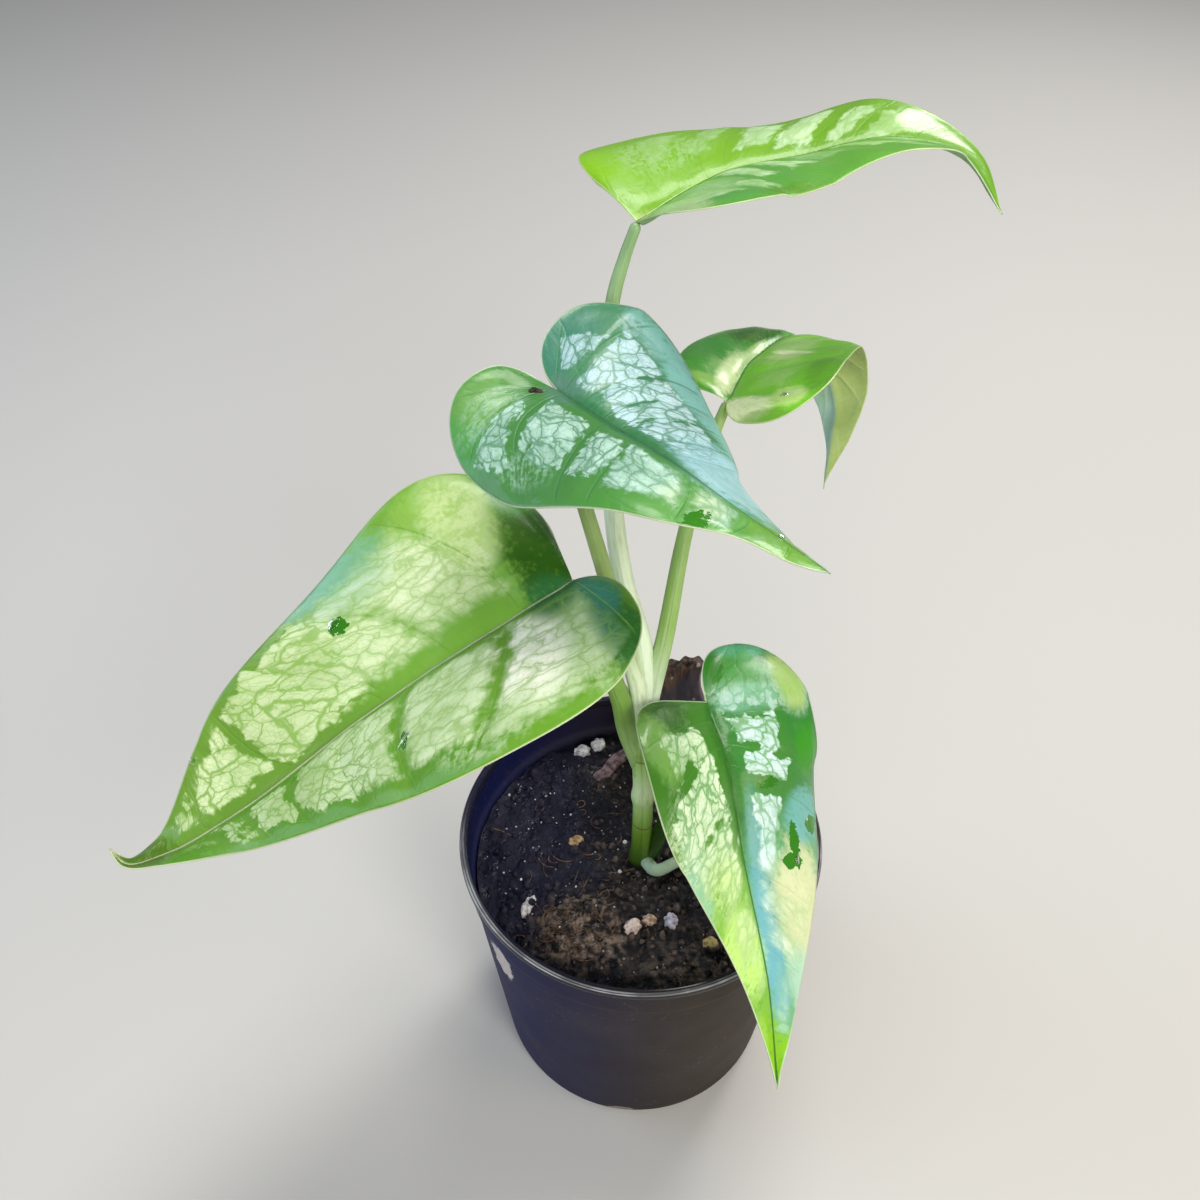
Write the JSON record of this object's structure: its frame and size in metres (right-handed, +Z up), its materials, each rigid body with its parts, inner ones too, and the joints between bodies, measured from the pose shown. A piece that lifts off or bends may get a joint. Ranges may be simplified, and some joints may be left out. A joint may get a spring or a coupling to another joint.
{
  "type": "potted monstera siltepecana",
  "caption": "Young monstera siltepecana with silver-patched heart-shaped leaves on long stalks, growing from crumbly soil in a round dark plastic nursery pot.",
  "frame": {"origin": "centre of the pot's underside, on the pot's axis", "axes": "+Z up along the pot's axis, +Y towards the back of the plant, where the highest leaf leans, +X to the right as seen from the front"},
  "size_m": [0.1622, 0.1399, 0.2078],
  "materials": {
    "pot_plastic": "satin",
    "soil": "matte",
    "stem_skin": "satin",
    "stalk_skin": "satin",
    "blade_top": "gloss",
    "blade_middle": "gloss",
    "blade_left": "gloss",
    "blade_right": "gloss",
    "blade_front": "gloss",
    "root_skin": "matte",
    "perlite": "matte",
    "pumice": "matte",
    "bark": "matte"
  },
  "bodies": {
    "root": {"pot": "pot_plastic", "soil": "soil", "stem": "stem_skin", "petiole_top": "stalk_skin", "petiole_middle": "stalk_skin", "petiole_left": "stalk_skin", "petiole_right": "stalk_skin", "petiole_front": "stalk_skin", "leaf_top": "blade_top", "leaf_middle": "blade_middle", "leaf_left": "blade_left", "leaf_right": "blade_right", "leaf_front": "blade_front", "aerial_root": "root_skin", "perlite_back_left": "perlite", "perlite_back_right": "perlite", "perlite_left": "perlite", "perlite_front": "perlite", "perlite_right": "perlite", "pumice_front": "pumice", "pumice_right": "pumice", "pumice_left": "pumice", "bark_stick": "bark", "bark_chip": "bark"}
  },
  "joints": []
}
